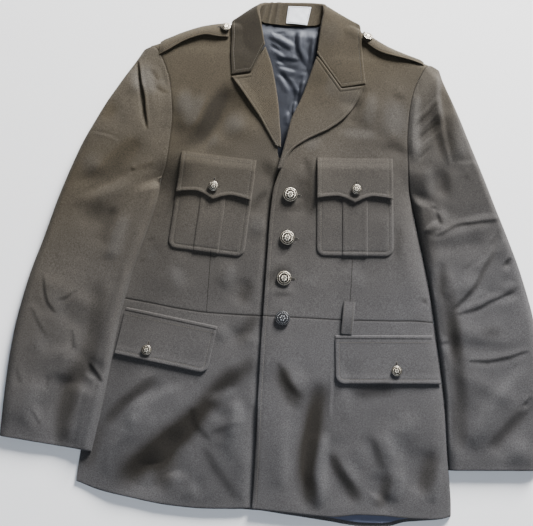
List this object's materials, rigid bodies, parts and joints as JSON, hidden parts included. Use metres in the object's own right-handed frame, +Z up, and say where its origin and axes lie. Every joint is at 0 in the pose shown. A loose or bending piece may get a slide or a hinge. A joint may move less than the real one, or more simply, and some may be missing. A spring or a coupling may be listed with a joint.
{
  "type": "military dress tunic",
  "caption": "Wool dress tunic laid flat on its back: notched lapels, shoulder straps, patch breast pockets, side pocket flaps and metal buttons down the front.",
  "frame": {"origin": "middle of the laid-out tunic's bounding box, on the surface it lies on", "axes": "+X towards the wearer's left sleeve, +Y from the hem towards the collar, +Z up, out of the front of the tunic"},
  "size_m": [0.8189, 0.8208, 0.0319],
  "materials": {
    "wool": "olive-brown wool twill",
    "lining_satin": "dark satin lining",
    "label_cloth": "white woven cloth, bare",
    "button_metal": "aged silver-gold, worn",
    "button_plastic": "black moulded plastic"
  },
  "bodies": {
    "root": {"back": "wool", "lining": "lining_satin", "right_front": "wool", "right_skirt": "wool", "left_front": "wool", "left_skirt": "wool", "right_lapel": "wool", "left_lapel": "wool", "collar": "wool", "right_top_sleeve": "wool", "right_under_sleeve": "wool", "left_top_sleeve": "wool", "left_under_sleeve": "wool", "right_strap": "wool", "left_strap": "wool", "right_breast_pocket": "wool", "right_breast_flap": "wool", "left_breast_pocket": "wool", "left_breast_flap": "wool", "right_side_flap": "wool", "right_welt": "wool", "left_side_flap": "wool", "left_welt": "wool", "belt_loop": "wool", "label": "label_cloth", "front_button_1": "button_metal", "front_button_2": "button_metal", "front_button_3": "button_metal", "front_button_4": "button_plastic", "right_breast_button": "button_metal", "left_breast_button": "button_metal", "right_side_button": "button_metal", "left_side_button": "button_metal", "right_strap_button": "button_metal", "left_strap_button": "button_metal"}
  },
  "joints": []
}
